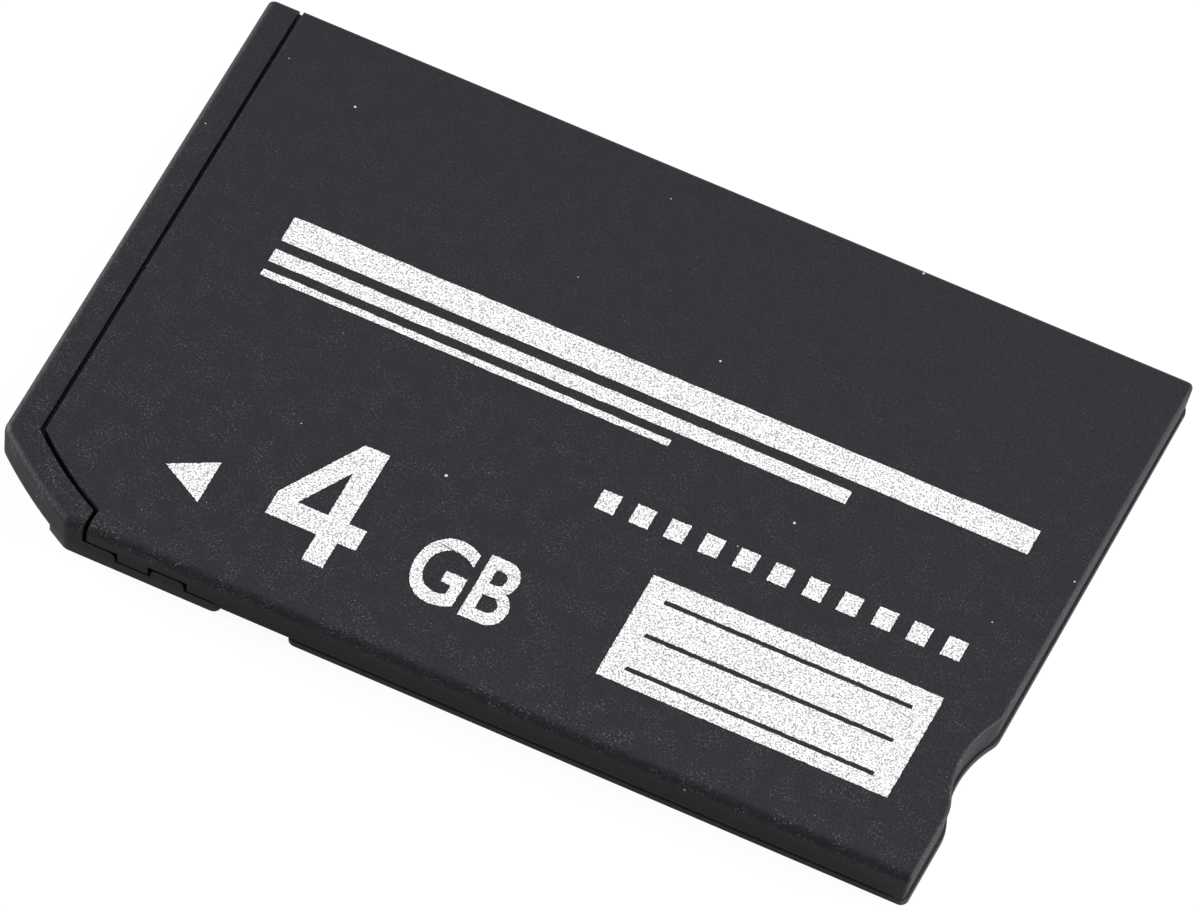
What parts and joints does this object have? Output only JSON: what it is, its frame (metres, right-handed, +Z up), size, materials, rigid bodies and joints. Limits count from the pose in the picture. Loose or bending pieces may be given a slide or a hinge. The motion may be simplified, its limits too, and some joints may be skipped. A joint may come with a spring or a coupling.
{
  "type": "memory card",
  "caption": "Slim flash memory card of two moulded plastic shells with a cut corner, a thumb notch at the rear and gold contacts in windows underneath.",
  "frame": {"origin": "middle of the underside, on the surface the card lies on", "axes": "+X along the card to its rear end with the thumb notch, so -X is the end that goes into the slot; -Y to the long side with the cut corner; +Z up through the label side"},
  "size_m": [0.031, 0.02, 0.0016],
  "materials": {
    "case_plastic": "charcoal black plastic with a fine spark-eroded grain",
    "print_silver": "silver screen-print ink with fine metallic flake",
    "board_laminate": "glass-fibre laminate under green solder mask",
    "contact_gold": "hard gold plating over copper, satin",
    "chip_epoxy": "black moulded epoxy",
    "capacitor_ceramic": "tan ceramic block",
    "resistor_ceramic": "black glazed ceramic chip"
  },
  "bodies": {
    "root": {"upper_case": "case_plastic", "lower_case": "case_plastic", "circuit_board": "board_laminate", "flash_memory": "chip_epoxy", "controller_chip": "chip_epoxy", "contact_pad_01": "contact_gold", "contact_pad_02": "contact_gold", "contact_pad_03": "contact_gold", "contact_pad_04": "contact_gold", "contact_pad_05": "contact_gold", "contact_pad_06": "contact_gold", "contact_pad_07": "contact_gold", "contact_pad_08": "contact_gold", "contact_pad_09": "contact_gold", "contact_pad_10": "contact_gold", "capacitor_1": "capacitor_ceramic", "capacitor_2": "capacitor_ceramic", "capacitor_3": "capacitor_ceramic", "capacitor_4": "capacitor_ceramic", "capacitor_5": "capacitor_ceramic", "capacitor_6": "capacitor_ceramic", "resistor_1": "resistor_ceramic", "resistor_2": "resistor_ceramic", "resistor_3": "resistor_ceramic", "resistor_4": "resistor_ceramic"}
  },
  "joints": []
}
